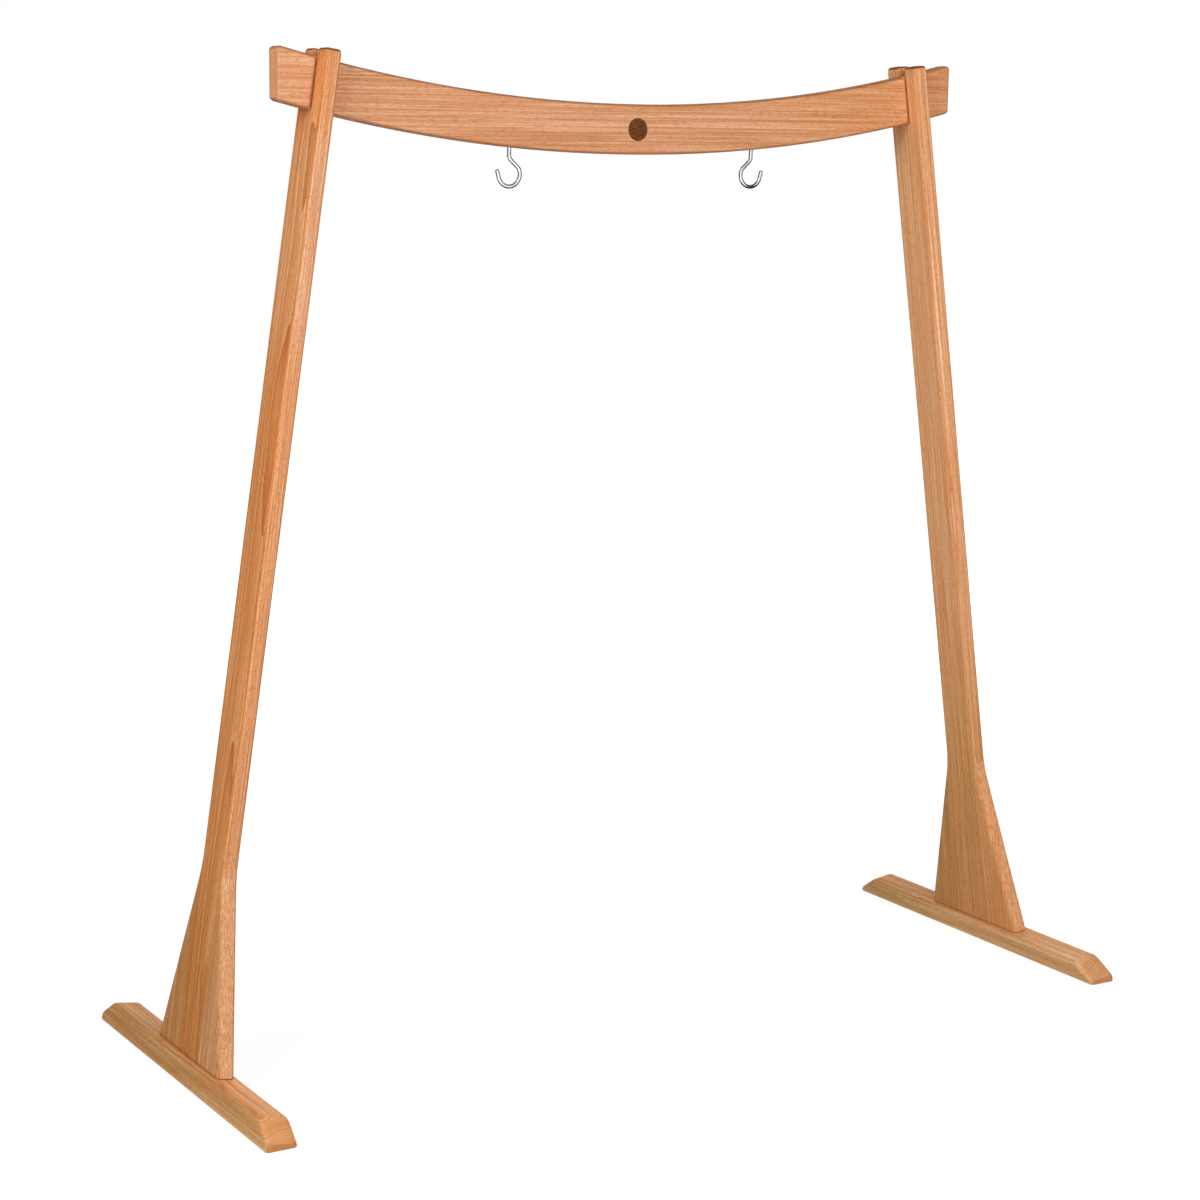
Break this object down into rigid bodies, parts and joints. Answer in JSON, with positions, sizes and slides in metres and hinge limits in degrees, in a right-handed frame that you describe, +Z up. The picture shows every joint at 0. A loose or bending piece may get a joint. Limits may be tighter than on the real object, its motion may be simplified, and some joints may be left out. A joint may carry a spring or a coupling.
{
  "type": "gong stand",
  "caption": "Wooden gong stand with leaning forked legs on long feet, an arched crossbar that drops into the forks, and screw hooks for the gong's cord.",
  "frame": {"origin": "on the floor, under the middle of the crossbar, midway between the feet", "axes": "+X along the crossbar from the left trestle to the right one, -Y out of the front with the round inlay, +Z up"},
  "size_m": [1.4368, 0.6, 1.4023],
  "materials": {
    "beech": "oiled, satin",
    "light_beech": "oiled, satin",
    "dark_wood": "oiled, satin",
    "dowel_wood": "raw",
    "bright_steel": "bright plated",
    "zinc_steel": "zinc plated"
  },
  "bodies": {
    "left_trestle": {"left_foot": "beech", "left_leg_post": "beech", "left_front_gusset": "light_beech", "left_back_gusset": "light_beech", "left_front_bolt": "zinc_steel", "left_front_washer": "zinc_steel", "left_front_insert": "zinc_steel", "left_front_dowel": "dowel_wood", "left_back_bolt": "zinc_steel", "left_back_washer": "zinc_steel", "left_back_insert": "zinc_steel", "left_back_dowel": "dowel_wood"},
    "crossbar_bar": {"crossbar": "beech", "round_inlay": "dark_wood"},
    "right_trestle": {"right_foot": "beech", "right_leg_post": "beech", "right_front_gusset": "light_beech", "right_back_gusset": "light_beech", "right_front_bolt": "zinc_steel", "right_front_washer": "zinc_steel", "right_front_insert": "zinc_steel", "right_front_dowel": "dowel_wood", "right_back_bolt": "zinc_steel", "right_back_washer": "zinc_steel", "right_back_insert": "zinc_steel", "right_back_dowel": "dowel_wood"},
    "left_hook_body": {"left_hook": "bright_steel"},
    "right_hook_body": {"right_hook": "bright_steel"}
  },
  "joints": [
    {"name": "crossbar_lift", "type": "slide", "parent": "left_trestle", "child": "crossbar_bar", "axis": [0.1478, 0, 0.989], "range_m": [0, 0.095]},
    {"name": "right_trestle_slide", "type": "slide", "parent": "crossbar_bar", "child": "right_trestle", "axis": [0.1478, 0, -0.989], "range_m": [0, 0.095]},
    {"name": "left_hook_turn", "type": "hinge", "parent": "crossbar_bar", "child": "left_hook_body", "pos_m": [-0.2035, 0, 1.27], "axis": [0, 0, 1], "range_deg": [-90, 90]},
    {"name": "right_hook_turn", "type": "hinge", "parent": "crossbar_bar", "child": "right_hook_body", "pos_m": [0.2035, 0, 1.27], "axis": [0, 0, 1], "range_deg": [-90, 90]}
  ],
  "couplings": [
    {"joint": "right_trestle_slide", "follows": "crossbar_lift", "ratio": 1}
  ]
}
